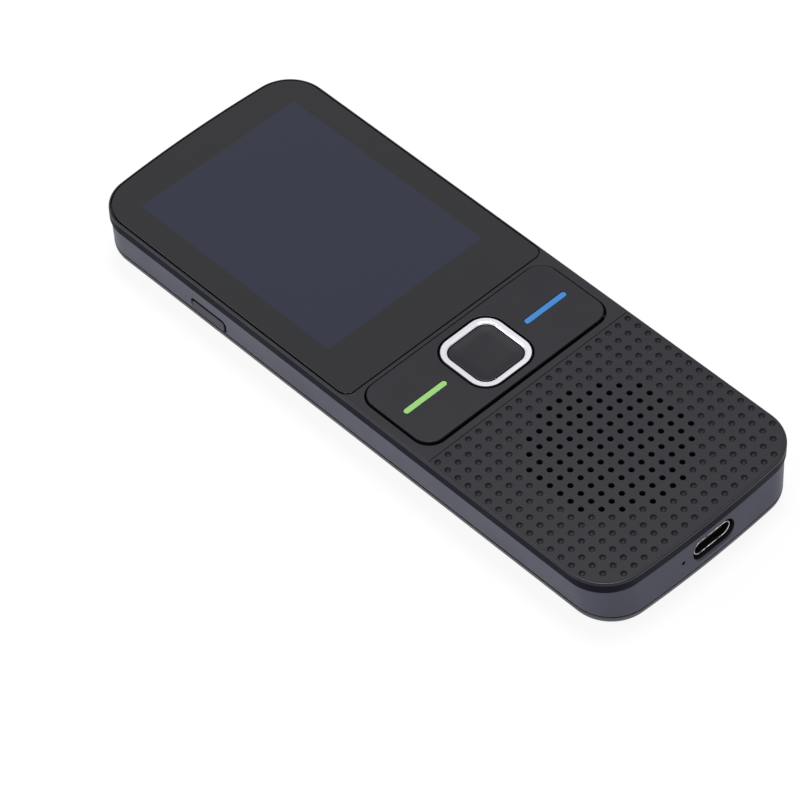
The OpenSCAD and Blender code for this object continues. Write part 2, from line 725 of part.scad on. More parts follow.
module flash_lens() color("#e8e4d0") {
    disc(flash_c, flash_d, 0.1, floor_t + 0.1);
    disc(flash_c, flash_d + 1.2, floor_t, floor_t + 0.5);
}

// ---------------------------------------------------------------- fasteners and aerial

module screw(at, head_z, length, up) translate([at[0], at[1], head_z]) mirror([0, 0, up ? 1 : 0]) {
    cylinder(h = 0.6, d = 2.6);
    translate([0, 0, -length]) cylinder(h = length + 0.1, d = screw_d);
}

module board_screws() color("#a8aab0") {
    for (at = board_bosses) screw(at, board_top, 2 * screw_d, false);
    for (at = usb_posts) screw(at, usb_board_top, board_t + screw_d * 0.7, false);
}

module front_screws() color("#a8aab0") for (at = front_bosses)
    screw(at, ear_z, ear_t + 1.6 * screw_d, true);

// thin printed aerial on the band's inner face at the screen end
aerial_t = board_t / 5;

module antenna() color("#b07a30") intersection() {
    difference() {
        body_prism(cavity_half_w - 0.02, cavity_half_l - 0.02, lip_top + 0.6, band_top - skirt_h - 0.6,
            cavity_trim);
        body_prism(cavity_half_w - 0.02 - aerial_t, cavity_half_l - 0.02 - aerial_t, 0, body_t,
            cavity_trim + aerial_t);
    }
    block(-half_w / 2, half_w / 2, half_l / 2, half_l, 0, body_t);
}

back_cover();
middle_band();
front_frame();
grille_panel();
screen_glass();
glass_adhesive();
display_module();
display_ribbon();
rocker_key();
green_bar();
blue_bar();
centre_key();
centre_key_ring();
key_membrane();
key_domes();
main_board();
processor_shield();
battery();
battery_tape();
battery_lead();
speaker_basket();
speaker_cone();
speaker_gasket();
speaker_mesh();
usb_board();
usb_shell();
usb_tongue();
microphone();
microphone_boot();
board_ribbon();
power_key();
power_switch();
camera_module();
camera_window();
camera_ring();
flash_lens();
board_screws();
front_screws();
antenna();
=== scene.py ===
# %% [markdown]
# # A pocket voice translator
# This lesson dresses the solids of a slim two-way translator: a screen, a rocker key round a
# ringed key, a perforated speaker panel, a side key and a charging socket. The solids already
# have their places and sizes, so each piece made here goes where its solid is.

# %% Load the solids
import bpy, bmesh
from math import atan2, cos, pi, radians, sin, sqrt
from mathutils import Matrix, Vector
from mathutils.geometry import delaunay_2d_cdt


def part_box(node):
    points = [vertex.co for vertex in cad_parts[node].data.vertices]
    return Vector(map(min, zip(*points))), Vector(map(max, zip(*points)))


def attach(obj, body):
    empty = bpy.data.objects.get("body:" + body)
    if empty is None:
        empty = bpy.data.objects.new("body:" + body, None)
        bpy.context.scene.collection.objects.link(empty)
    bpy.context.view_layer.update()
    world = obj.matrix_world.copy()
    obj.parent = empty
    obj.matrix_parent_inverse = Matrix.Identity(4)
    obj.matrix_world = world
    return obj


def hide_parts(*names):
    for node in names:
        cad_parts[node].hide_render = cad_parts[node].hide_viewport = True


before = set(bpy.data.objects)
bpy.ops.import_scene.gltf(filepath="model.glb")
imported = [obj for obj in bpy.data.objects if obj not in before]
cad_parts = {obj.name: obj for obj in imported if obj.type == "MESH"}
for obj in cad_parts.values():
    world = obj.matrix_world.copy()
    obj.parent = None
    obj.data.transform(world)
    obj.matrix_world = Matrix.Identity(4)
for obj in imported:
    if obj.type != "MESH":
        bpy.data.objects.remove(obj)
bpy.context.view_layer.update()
MM = 0.001

# %% [markdown]
# ## Sizes
# All sizes are in millimetres, as on the maker's drawing: X across the body, Y towards the
# screen end, Z out of the screen. A few are named here because several pieces share them.

# %% Sizes that several pieces share
HALF_W, HALF_L = 25.0, 65.8          # the rim, from its middle
FAR_R, SOCKET_R = 8.0, 8.3           # its corners at the screen end and at the socket end
END_BOW = 1.15                       # how far each end bows out
BOW_R = (HALF_W ** 2 + END_BOW ** 2) / (2 * END_BOW)
BAND_W, BAND_L = 24.8, 65.6          # top of the side band
COVER_W, COVER_L = 23.9, 66.4        # back cover's straight edge
COVER_TOP, BAND_TOP, RIM_TOP, GLASS_TOP, KEY_TOP = 2.4, 9.4, 11.7, 11.8, 12.1
DIVIDE_Y, GLASS_FOOT_Y = -22.44, -1.75
KEY_Y, SPEAKER_Y = -11.78, -42.3     # middles of the rocker and of the sound holes
PITCH, HOLE_R = 2.48, 0.55           # grid of the sound holes, and their radius
SOCKET_X, SOCKET_Z, MIC_X = 1.1, 5.9, -6.4
POWER_Y, POWER_Z = 34.8, 4.2         # middle of the side key
print("end bow radius", round(BOW_R, 1), "mm")

# %% [markdown]
# ## Outlines
# Every edge of the body is the same closed outline set in by some distance: two bowed ends
# joined to straight sides by corner arcs, all tangent. Because each outline has the same number
# of points, two of them at different heights can be joined point to point into a smooth wall.

# %% Outlines of the body, the screen and the keys
GLASS_INSET, FOOT_R, PANEL_R = 0.65, 1.8, 0.25

def arc(cx, cy, r, start, stop, steps):
    return [(cx + r * cos(a), cy + r * sin(a))
            for a in (start + (stop - start) * i / steps for i in range(steps + 1))]

def bowed_end(hw, end, r):
    y = end - BOW_R + sqrt((BOW_R - r) ** 2 - (hw - r) ** 2)
    a = atan2(y - end + BOW_R, hw - r)
    bow = arc(0, end - BOW_R, BOW_R, a, pi - a, 24)
    return arc(hw - r, y, r, 0, a, 20) + bow[1:-1] + arc(r - hw, y, r, pi - a, pi, 20)

def body(hw, hl, trim=0.0):
    near = [(-x, -y) for x, y in bowed_end(hw, hl, SOCKET_R - trim)]
    return bowed_end(hw, hl, FAR_R - trim) + near

def rim(inset):
    return body(HALF_W - inset, HALF_L - inset, inset)

def screen(inset):                   # the gap at the glass's foot is narrower than at its sides
    past = inset - GLASS_INSET
    hw, foot, r = HALF_W - inset, GLASS_FOOT_Y + 0.6 * past, FOOT_R - past
    return (bowed_end(hw, HALF_L - inset, FAR_R - inset)
            + arc(r - hw, foot + r, r, pi, 1.5 * pi, 8)
            + arc(hw - r, foot + r, r, 1.5 * pi, 2 * pi, 8))

def panel(inset, top):               # speaker panel, square at the keys
    hw, r = HALF_W - inset, PANEL_R
    near = [(-x, -y) for x, y in bowed_end(hw, HALF_L - inset, SOCKET_R - inset)]
    return near + arc(hw - r, top - r, r, 0, pi / 2, 4) + arc(r - hw, top - r, r, pi / 2, pi, 4)

def rounded(w, l, r, cx=0.0, cy=0.0, steps=12):
    points = []
    for i, (sx, sy) in enumerate([(1, 1), (-1, 1), (-1, -1), (1, -1)]):
        points += arc(cx + sx * (w / 2 - r), cy + sy * (l / 2 - r), r,
                      i * pi / 2, (i + 1) * pi / 2, steps)
    return points

def circle(cx, cy, r, steps=48):
    return arc(cx, cy, r, 0, 2 * pi * (1 - 1 / steps), steps - 1)

def rim_gap(x, y):                   # distance from a point in to the rim's outline
    r = FAR_R if y > 0 else SOCKET_R
    cy = HALF_L - BOW_R + sqrt((BOW_R - r) ** 2 - (HALF_W - r) ** 2)
    x, y = abs(x), abs(y)
    if y < cy:
        return HALF_W - x
    if x > HALF_W - r:
        return r - sqrt((x - HALF_W + r) ** 2 + (y - cy) ** 2)
    return BOW_R - sqrt(x ** 2 + (y - HALF_L + BOW_R) ** 2)

print("points in the body's outline:", len(rim(0)))

# %% [markdown]
# ## A small loft tool
# Moulded parts are walls between outlines. The tool below takes chains of rings, joins each ring
# to the next with quads, and fills flat faces with triangles. Narrow rings beside each rounding
# keep the shading of the flat faces flat, as a modeller does with support loops.

# %% Loft tool
def at(points, z):
    return [(x, y, z) for x, y in points]

def place(obj, body_name, *nodes, smooth=35):
    """Shade a piece, let it move with its body, and let it stand for its solids."""
    obj.data.shade_smooth()
    obj.data.set_sharp_from_angle(angle=radians(smooth))
    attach(obj, body_name)
    if nodes:
        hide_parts(*nodes)
    print(obj.name, len(obj.data.polygons), "faces")
    return obj

def fill(bm, rings):
    """A flat face inside the first ring, open inside the others."""
    verts = [bm.verts.new(Vector(p) * MM) for ring in rings for p in ring]
    if len(rings) == 1:
        bm.faces.new(verts)
        return
    owner = [i for i, ring in enumerate(rings) for _ in ring]
    edges, start = [], 0
    for ring in rings:
        edges += [(start + i, start + (i + 1) % len(ring)) for i in range(len(ring))]
        start += len(ring)
    flat = [Vector(p[:2]) for ring in rings for p in ring]
    result = delaunay_2d_cdt(flat, edges, [], 1, 1e-7)
    for face in result[2]:           # a triangle with all its corners on one hole lies in it
        ids = [result[3][i][0] for i in face]
        if owner[ids[0]] == 0 or len({owner[i] for i in ids}) > 1:
            bm.faces.new([verts[i] for i in ids])

def loft(name, chains, caps=(), joined=None):
    """Walls along the chains of rings, flat faces in the caps and a joined piece, as one skin."""
    bm = bmesh.new()
    if joined:
        bm.from_mesh(joined.data)
        bpy.data.objects.remove(joined)
    for chain in chains:
        rows = [[bm.verts.new(Vector(p) * MM) for p in ring] for ring in chain]
        for low, high in zip(rows, rows[1:]):
            for i in range(len(low)):
                j = (i + 1) % len(low)
                bm.faces.new((low[i], low[j], high[j], high[i]))
    for cap in caps:
        fill(bm, cap)
    bmesh.ops.remove_doubles(bm, verts=bm.verts, dist=2e-7)
    bmesh.ops.dissolve_degenerate(bm, dist=1e-8, edges=bm.edges)
    bmesh.ops.recalc_face_normals(bm, faces=bm.faces)
    open_edges = sum(1 for e in bm.edges if not e.is_manifold)
    mesh = bpy.data.meshes.new(name)
    bm.to_mesh(mesh)
    bm.free()
    obj = bpy.data.objects.new(name, mesh)
    bpy.context.scene.collection.objects.link(obj)
    if open_edges:
        print(name, "has", open_edges, "open edges")
    return obj

def rounding(r, steps=6):            # (inset, drop) pairs from a wall up to a flat top
    turn = [(r * (1 - cos(a)), r * (1 - sin(a)))
            for a in (pi / 2 * i / steps for i in range(steps + 1))]
    return [(0, r * 1.2)] + turn + [(r * 1.15, 0)]

def crown(shape, top, r):            # rings of a rounded upper edge; shape(inset) is an outline
    return [at(shape(i), top - d) for i, d in rounding(r)]

print("rings in a rounded edge:", len(rounding(1)))

# %% [markdown]
# ## Node helper and colours
# A finish is a small network of nodes. One helper adds a node with its options, values and links,
# and one function turns a colour written as sRGB hex into the linear numbers that Blender uses.

# %% Helper for nodes, and colours
PATCH = 14                           # width of the patches that shine a little more or less

def add(tree, kind, values):
    node = tree.nodes.new(kind)
    for key, value in values.items():
        if isinstance(key, str) and hasattr(node, key):
            setattr(node, key, value)
        elif isinstance(value, bpy.types.NodeSocket):
            tree.links.new(value, node.inputs[key])
        else:
            node.inputs[key].default_value = value
    return node

def srgb(code):
    parts = [int(code[i:i + 2], 16) / 255 for i in (1, 3, 5)]
    return tuple(c / 12.92 if c <= 0.04045 else ((c + 0.055) / 1.055) ** 2.4 for c in parts) + (1.0,)

def finish(name, colour, roughness, **sockets):
    """A material whose constants are set on the shader itself."""
    mat = bpy.data.materials.new(name)
    mat.use_nodes = True
    shader = mat.node_tree.nodes["Principled BSDF"]
    shader.inputs["Base Color"].default_value = srgb(colour)
    shader.inputs["Roughness"].default_value = roughness
    for key, value in sockets.items():
        shader.inputs[key.replace("_", " ")].default_value = value
    mat.diffuse_color = srgb(colour)
    return mat

def opened(mat):
    """Its node tree and its shader."""
    return mat.node_tree, mat.node_tree.nodes["Principled BSDF"]

def grain(mat, size, depth, spread=0.06, detail=2.0):
    """A moulded grain: size and depth in millimetres, with roughness that varies a little."""
    tree, shader = opened(mat)
    place_in = add(tree, "ShaderNodeTexCoord", {}).outputs["Object"]
    noise = add(tree, "ShaderNodeTexNoise", {"Vector": place_in, "Scale": 1000 / size,
                                             "Detail": detail})
    bump = add(tree, "ShaderNodeBump", {"Height": noise.outputs["Fac"], "Distance": depth * MM,
                                        "Strength": 1.0})
    tree.links.new(bump.outputs["Normal"], shader.inputs["Normal"])
    wide = add(tree, "ShaderNodeTexNoise", {"Vector": place_in, "Scale": 1000 / PATCH,
                                            "Detail": 3.0})
    rough = shader.inputs["Roughness"].default_value
    level = add(tree, "ShaderNodeMapRange", {"Value": wide.outputs["Fac"], "From Min": 0.3,
                "From Max": 0.7, "To Min": rough - spread, "To Max": rough + spread})
    tree.links.new(level.outputs["Result"], shader.inputs["Roughness"])
    return noise

print("a mid grey, #808080, is", round(srgb("#808080")[0], 3), "in linear light")

# %% [markdown]
# ## Black plastic of the front
# The front frame and the speaker panel are ABS moulded in a spark-eroded tool, which leaves a fine
# even grain. Noise in a Bump node stands for that grain, because real dents this small would cost
# millions of faces and the eye only reads how they scatter light.

# %% Black plastic
# Spark-eroded black ABS: a soft dull sheen with no clear reflection. The real grain is about
# 0.15 mm wide and is drawn 0.35 mm wide, so that it shows.
black_abs = finish("spark_eroded_black_abs", "#0e0d16", 0.45, IOR=1.5, Specular_IOR_Level=0.23)
grain(black_abs, 0.35, 0.012)

# Painted shade: the rim's upright side gets a nearly black copy of the same plastic, which
# reflects almost nothing and stands in for the shade on that side. Its faint waves are flow
# marks, 0.5 mm apart.
rim_shade_abs = finish("black_abs_rim_painted_shade", "#08091b", 0.5, IOR=1.5, Specular_IOR_Level=0.05)
grain(rim_shade_abs, 0.5, 0.004)

# Painted highlight: a thin paler, glossier copy of the same plastic runs round the rim's edge.
edge_highlight_abs = finish("black_abs_edge_painted_highlight", "#10101a", 0.36, IOR=1.5, Specular_IOR_Level=0.28)
grain(edge_highlight_abs, 0.5, 0.003)

# The keys have a finer spark-eroded grain, 0.1 mm on a real one and 0.3 mm here: slightly
# smoother and more even than the frame round them.
key_abs_and_ring_shade = finish("fine_grained_black_key_abs_and_ring_shade", "#0e0e16", 0.4, IOR=1.5, Specular_IOR_Level=0.22)
grain(key_abs_and_ring_shade, 0.3, 0.008)
print("black plastics:", [m.name for m in bpy.data.materials if "abs" in m.name])

# %% [markdown]
# ## Grey band and back cover
# The band is ABS under a sprayed satin paint that holds a little metal flake. The cover is left
# unpainted, in a paler grey plastic with a coarser grain, so that a hand holds it well. The flakes
# could be real specks, but a mix of two greys by the grain's noise shows them at no cost.

# %% Grey paint and grey plastic
# Sprayed satin paint: a blue grey with a soft sheen, and tiny lighter and darker flakes. A real
# flake is 0.03 mm wide, and is drawn 0.3 mm wide, so that it shows.
band_paint = finish("sprayed_satin_grey_paint", "#424252", 0.5, IOR=1.5, Specular_IOR_Level=0.25)
flake = grain(band_paint, 0.3, 0.006)
tree, shader = opened(band_paint)
tone = add(tree, "ShaderNodeMix", {"data_type": "RGBA", "Factor": flake.outputs["Fac"],
                                   6: srgb("#3e3e4e"), 7: srgb("#464656")})
tree.links.new(tone.outputs[2], shader.inputs["Base Color"])

# The side key's face is a darker grey than the band.
key_face_paint = finish("darker_grey_key_paint", "#33333f", 0.45, IOR=1.5, Specular_IOR_Level=0.25)
grain(key_face_paint, 0.3, 0.006)

# Painted shade: the walls of the openings at the end get a nearly black grey, which stands in for
# the shade inside them.
opening_shade = finish("black_abs_painted_shade_in_openings", "#191920", 0.5, IOR=1.5, Specular_IOR_Level=0.2)
grain(opening_shade, 0.3, 0.006)

# Moulded grey ABS: dull and even, with an open grain 0.3 mm wide, drawn at 0.4 mm.
cover_abs = finish("moulded_grey_abs", "#48484f", 0.5, IOR=1.5, Specular_IOR_Level=0.38)
grain(cover_abs, 0.4, 0.014)
print("finishes so far:", len(bpy.data.materials))

# %% [markdown]
# ## Screen glass
# Black ink is printed behind the glass round the display, and the display under it is a shade
# lighter and bluer when it is off. Two ranges along X and Y give the display's rectangle, so the
# glass stays one piece, as it is on the real device.

# %% Finish of the screen glass
DISPLAY_W, DISPLAY_L, DISPLAY_Y = 38.0, 49.5, 33.25
STREAK = 22                          # how long a finger's streak is

# Ink-backed float glass: deep, smooth and almost black. Fingers leave a thin film in streaks,
# which softens the reflections in patches.
screen_glass = finish("ink_backed_float_glass", "#0a0b12", 0.08, IOR=1.5, Specular_IOR_Level=0.4)
tree, shader = opened(screen_glass)
place_in = add(tree, "ShaderNodeTexCoord", {}).outputs["Object"]
xyz = add(tree, "ShaderNodeSeparateXYZ", {"Vector": place_in})

def inside(axis, centre, half):      # 1 within the display's edges
    away = add(tree, "ShaderNodeMath", {"operation": "SUBTRACT", 0: xyz.outputs[axis],
                                        1: centre * MM})
    size = add(tree, "ShaderNodeMath", {"operation": "ABSOLUTE", 0: away.outputs[0]})
    near = add(tree, "ShaderNodeMapRange", {"Value": size.outputs[0], "From Min": (half + 0.1) * MM,
                                            "From Max": (half - 0.1) * MM})
    return near.outputs["Result"]

area = add(tree, "ShaderNodeMath", {"operation": "MULTIPLY", 0: inside("X", 0.0, DISPLAY_W / 2),
                                    1: inside("Y", DISPLAY_Y, DISPLAY_L / 2)})
tint = add(tree, "ShaderNodeMix", {"data_type": "RGBA", "Factor": area.outputs[0],
                                   6: srgb("#0a0b12"), 7: srgb("#10162c")})
tree.links.new(tint.outputs[2], shader.inputs["Base Color"])
smear = add(tree, "ShaderNodeTexNoise", {"Vector": place_in, "Scale": 1000 / STREAK, "Detail": 5.0,
                                         "Distortion": 0.6})
film = add(tree, "ShaderNodeMapRange", {"Value": smear.outputs["Fac"], "From Min": 0.35,
                                        "From Max": 0.75, "To Min": 0.05, "To Max": 0.1})
tree.links.new(film.outputs["Result"], shader.inputs["Roughness"])
print("display area", DISPLAY_W, "x", DISPLAY_L, "mm")

# %% [markdown]
# ## Trim in colour and metal
# The ring round the centre key is plastic under vacuum-deposited aluminium. The two bars are
# coloured right through and polished, so they stay glossy when they wear. Their marks are faint,
# so a weak bump is enough; a mirror-smooth surface would look like a drawing.

# %% Ring and bars
# Metallised plastic: bright as metal, but a little soft, since the film copies the plastic's
# skin. The waves in that skin are 0.4 mm apart.
silver = finish("vacuum_metallised_abs", "#dadae0", 0.2, Metallic=1.0)
grain(silver, 0.4, 0.0006, 0.03)

# Polished coloured ABS: a clean full colour with a small soft highlight. Sink marks make its
# surface swell very slightly every 0.8 mm.
green_abs = finish("polished_green_abs", "#87ba69", 0.25, IOR=1.5)
grain(green_abs, 0.8, 0.003, 0.04)
blue_abs = finish("polished_blue_abs", "#2772b6", 0.25, IOR=1.5)
grain(blue_abs, 0.8, 0.003, 0.04)
print("trim:", silver.name, green_abs.name, blue_abs.name)

# %% [markdown]
# ## Metals and mouldings of the socket
# The socket's shell is drawn from steel and plated with nickel. Its trimmed edge is uneven, so it
# shines in spots. Inside it are a black nylon moulding and gold-plated contacts. The spots could be
# dents in the mesh, but a colour that follows the grain's noise is cheaper and keeps the edge true.

# %% Socket finishes
# Nickel-plated steel: a bright line broken by dull spots, where the punch tore the edge. The
# spots are 1.1 mm apart, about as on a punched edge.
socket_steel = finish("nickel_plated_drawn_steel", "#c9c8c4", 0.28, Metallic=1.0)
drawn = grain(socket_steel, 1.1, 0.002, 0.05, detail=1.0)
tree, shader = opened(socket_steel)
worn = add(tree, "ShaderNodeMapRange", {"Value": drawn.outputs["Fac"], "From Min": 0.35,
                                        "From Max": 0.62})
tone = add(tree, "ShaderNodeMix", {"data_type": "RGBA", "Factor": worn.outputs["Result"],
                                   6: srgb("#6e6d6b"), 7: srgb("#eeedea")})
tree.links.new(tone.outputs[2], shader.inputs["Base Color"])

# Moulded black nylon: a dark matt surface that makes the socket look deep. Its glass fibres
# leave marks 0.25 mm long. On the shell's inside behind its mouth it is painted shade.
black_nylon_and_shade = finish("moulded_black_nylon_and_painted_shade", "#0b0b0d", 0.5, IOR=1.53, Specular_IOR_Level=0.2)
grain(black_nylon_and_shade, 0.25, 0.008)

# Gold plating over nickel: a warm glint. The rolled strip under it has lines 0.2 mm apart, ten
# times as coarse as on a real contact, so that they show.
gold = finish("gold_plated_contact", "#e6b866", 0.25, Metallic=1.0)
grain(gold, 0.2, 0.001, 0.04)
print("socket finishes:", socket_steel.name, black_nylon_and_shade.name, gold.name)

# %% [markdown]
# ## Finishes of the camera and its lamp
# A camera window looks dark because little light comes back out of the barrel behind it. Real
# refraction would need many samples to render clean, so the window here lets light straight
# through and keeps a clear reflection, and the lens shows inside it.

# %% Camera and lamp finishes
# Bead-blasted and anodised aluminium: a dull grey metal. A bead leaves a dent of 0.1 mm, which
# is drawn 0.2 mm wide, so that it shows.
ring_grey = finish("anodised_grey_aluminium", "#6b6b74", 0.32, Metallic=1.0)
grain(ring_grey, 0.2, 0.003)

# Polished tinted glass: a dark mirror that can be looked through. Its surface is true to less
# than a micrometre over 9 mm, so a reflection bends only at its edges.
tinted_glass = finish("polished_tinted_window", "#050508", 0.02, IOR=1.5, Specular_IOR_Level=1.0,
                      Alpha=0.3)
grain(tinted_glass, 9.0, 0.0005, 0.008)

# Coated lens: deep violet, with a coloured glint from its anti-reflection coating.
lens_coating = finish("coated_lens_element", "#120c26", 0.03, IOR=1.6, Coat_Weight=0.6,
                      Coat_Tint=srgb("#8f7bff"))
grain(lens_coating, 5.0, 0.0004, 0.01)

# Frosted acrylic: the lamp's lens glows pale yellow from the phosphor behind it. The frosting's
# dimples are 0.5 mm wide, five times as coarse as real ones, so that they show.
lens_resin = finish("frosted_acrylic_lens", "#e8e4d0", 0.3, IOR=1.49)
grain(lens_resin, 0.5, 0.02)
print("finishes so far:", len(bpy.data.materials))

# %% [markdown]
# ## Finishes of the inside
# The sealed pieces get their own plain but true finishes, because a cutaway view may show them.
# Each is one base colour with the grain that its making leaves, so one table lists them all: the
# name, the colour, how rough it is, and the width and depth of its grain in millimetres.

# %% Finishes of the inside
def plain(name, colour, roughness, size, depth, **sockets):
    mat = finish(name, colour, roughness, **sockets)
    grain(mat, size, depth)
    return mat

inner = {
    # lacquer flowing over copper tracks about 1.2 mm apart gives a satin green with low ridges
    plain("solder_masked_board", "#1f4a32", 0.4, 1.2, 0.01, IOR=1.5): ["main_board", "usb_board"],
    # dipped tin freezes in a bright skin, slightly uneven every 0.4 mm
    plain("hot_dipped_tinned_steel", "#b9bbc0", 0.35, 0.4, 0.003, Metallic=1.0): [
        "processor_shield", "key_domes", "speaker_basket", "microphone", "board_screws",
        "front_screws"],
    # foil drawn over a soft cell is a dull silver that ripples every 1.5 mm
    plain("rolled_battery_foil", "#9ea2a8", 0.38, 1.5, 0.02, Metallic=1.0): ["battery"],
    # paper fibres 0.5 mm long make the tape look chalky
    plain("creped_paper_tape", "#d8d4c8", 0.8, 0.5, 0.02, IOR=1.5): ["battery_tape"],
    # moulded silicone is a soft dark grey without shine, and takes the tool's 0.5 mm texture
    plain("moulded_silicone_rubber", "#3a3a3e", 0.65, 0.5, 0.01, IOR=1.41): [
        "key_membrane", "microphone_boot"],
    # extruded PVC has a waxy red sheen with faint waves 0.6 mm apart
    plain("extruded_red_pvc", "#a02828", 0.5, 0.6, 0.01, IOR=1.53): ["battery_lead"],
    # laminated polyimide is glossy amber over etched copper, with steps 0.8 mm apart
    plain("laminated_polyimide_film", "#9a6a2a", 0.35, 0.8, 0.006, IOR=1.6): [
        "display_ribbon", "board_ribbon", "antenna"],
    # pressed paper is matt, with fibres 0.4 mm long standing out of it
    plain("pressed_paper_cone", "#232326", 0.85, 0.4, 0.03, IOR=1.5): ["speaker_cone"],
    # the cut cells of the foam are 0.5 mm wide and swallow the light
    plain("closed_cell_foam", "#151517", 0.9, 0.5, 0.05, IOR=1.5): [
        "speaker_gasket", "glass_adhesive"],
    # threads 0.2 mm apart scatter what little light comes through the holes
    plain("woven_mesh_cloth", "#09090a", 0.9, 0.2, 0.03, IOR=1.5): ["speaker_mesh"],
    # stacked films look like dark smooth glass, pressed very slightly wavy every 2 mm
    plain("laminated_display_films", "#2a2b36", 0.25, 2.0, 0.004, IOR=1.5): ["display_module"],
    black_nylon_and_shade: ["power_switch"],
}
for material, names in inner.items():
    for name in names:
        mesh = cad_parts[name].data
        mesh.materials.clear()
        mesh.materials.append(material)
print("inner solids dressed:", sum(len(names) for names in inner.values()))

# %% [markdown]
# ## Front frame
# The front frame carries the screen, the rocker and the speaker panel in three openings. Boolean
# cuts could open them in a block, but they leave thin triangles that spoil the shading. Here the
# walls are lofts between outlines, and the top is one flat face with three holes in it.

# %% Front frame
GLASS_SEAT, PANEL_SEAT, MESH_SEAT = 10.9, 10.5, 10.35
HIGHLIGHT_LOW = 11.2                      # the painted highlight on the edge begins at this height
GLASS_HOLE, PANEL_HOLE = 0.37, 0.5   # how far these openings are set in from the rim
MESH_R, SOUND_R = 16.44, 15.5
WINDOW_W, WINDOW_LOW, WINDOW_HIGH = 37.9, -0.25, 60.45       # opening for the display
ROCKER_W, ROCKER_L, ROCKER_R = 45.4, 17.6, 3.4
KEY_HOLE_W, KEY_HOLE_R = 46.1, 3.75
HOLE_LOW, HOLE_HIGH = KEY_Y - ROCKER_L / 2 - 0.47, KEY_Y + ROCKER_L / 2 + 0.31

def key_hole(grow):
    return rounded(KEY_HOLE_W + 2 * grow, HOLE_HIGH - HOLE_LOW + 2 * grow, KEY_HOLE_R + grow,
                   0, (HOLE_LOW + HOLE_HIGH) / 2)

def lip(shape, r, top=RIM_TOP):      # from the flat top over a small lip down to the wall
    quarter = [(r * (1 - sin(a)), r * (1 - cos(a))) for a in (pi / 8 * i for i in range(5))]
    return [at(shape(g), top - d) for g, d in [(r * 1.15, 0)] + quarter + [(0, r * 1.2)]]

wall = [at(rim(0), z) for z in (BAND_TOP, BAND_TOP + 0.01, HIGHLIGHT_LOW)] + crown(rim, RIM_TOP, 0.26)
glass_hole = lip(lambda g: screen(GLASS_HOLE - g), 0.05) + [at(screen(GLASS_HOLE), GLASS_SEAT)]
window = [at(rounded(WINDOW_W, WINDOW_HIGH - WINDOW_LOW, 0.4, 0, (WINDOW_LOW + WINDOW_HIGH) / 2), z)
          for z in (GLASS_SEAT, BAND_TOP)]
rocker_hole = lip(key_hole, 0.1) + [at(key_hole(0), BAND_TOP)]
panel_hole = (lip(lambda g: panel(PANEL_HOLE - g, DIVIDE_Y + g), 0.012)
              + [at(panel(PANEL_HOLE, DIVIDE_Y), PANEL_SEAT)])
mesh_seat = [at(circle(0, SPEAKER_Y, MESH_R), z) for z in (PANEL_SEAT, MESH_SEAT)]
sound = [at(circle(0, SPEAKER_Y, SOUND_R), z) for z in (MESH_SEAT, BAND_TOP)]
frame_piece = loft(
    "front_frame_shell", [wall, glass_hole, window, rocker_hole, panel_hole, mesh_seat, sound], [
        [wall[-1], glass_hole[0], rocker_hole[0], panel_hole[0]],
        [glass_hole[-1], window[0]], [panel_hole[-1], mesh_seat[0]], [mesh_seat[-1], sound[0]],
        [wall[0], window[-1], rocker_hole[-1], sound[-1]]])
for material in (black_abs, rim_shade_abs, edge_highlight_abs):
    frame_piece.data.materials.append(material)
# painted shade on the rim's upright side, and a painted highlight along its top edge
for face in frame_piece.data.polygons:
    x, y, z = face.center / MM
    if rim_gap(x, y) < 0.3 and BAND_TOP + 0.001 < z < RIM_TOP - 0.001:
        face.material_index = 1 if z < HIGHLIGHT_LOW else 2
place(frame_piece, "casing", "front_frame")

# %% [markdown]
# ## Side band
# The band is one loft whose sides lean in towards the back while its ends swell a little. The
# socket, the microphone and the side key each have an opening through it. Those openings go
# through a curved wall, where a boolean cut is the simplest way and its triangles stay small.

# %% Side band
INNER_W, INNER_L, INNER_TRIM = 22.3, 63.8, 2.5
SLOT_W, SLOT_H, SLOT_Y = 10.24, 4.56, -65.98     # the socket's opening, and where it widens
MIC_W, MIC_H, MIC_Y = 0.8001, 0.8, -65.92        # a round hole, a hair wider than high
KEY_SLOT_L, KEY_SLOT_H, KEY_SLOT_R, KEY_SLOT_X = 9.3, 3.3, 1.05, -24.13

def band_ring(k, inset=0.0):         # k runs from 0 at the back cover to 1 under the rim
    outline = body(COVER_W + (BAND_W - COVER_W) * k - inset,
                   COVER_L + (BAND_L - COVER_L) * k - inset, inset)
    return at(outline, COVER_TOP + (BAND_TOP - COVER_TOP) * k)

outer = [band_ring(k, inset) for k, inset in [
    (0.007, 0.05), (0.012, 0.01), (0.02, 0), (0.1, 0), (0.5, 0), (0.9, 0), (0.985, 0),
    (0.994, 0.012), (1, 0.06)]]
cavity = [at(body(INNER_W, INNER_L, INNER_TRIM), z) for z in (BAND_TOP, COVER_TOP + 0.049)]
band = loft("side_band", [outer, cavity], [[outer[-1], cavity[0]], [outer[0], cavity[1]]])
band.data.materials.append(band_paint)

def slot_cutter(name, w, h, centre, axis, flare, corner=None, depth=4):
    """A slot, round at its ends or its corners, that opens a little at its mouth."""
    r = corner or h / 2 - 0.001
    rows = []
    for grow, out in [(0, -depth), (0, 0), (flare, flare), (flare + 2, flare + 2)]:
        rows.append([Vector(centre) + Vector((u, -out, v) if axis == "Y" else (-out, u, v))
                     for u, v in rounded(w + 2 * grow, h + 2 * grow, r + grow)])
    return loft(name, [rows], [[rows[0]], [rows[-1]]])

def cut(target, cutters):
    for cutter in cutters:
        modifier = target.modifiers.new("cut", "BOOLEAN")
        modifier.object, modifier.solver = cutter, "EXACT"
    graph = bpy.context.evaluated_depsgraph_get()
    mesh = bpy.data.meshes.new_from_object(target.evaluated_get(graph))
    target.modifiers.clear()
    target.data = mesh
    for cutter in cutters:
        bpy.data.objects.remove(cutter)

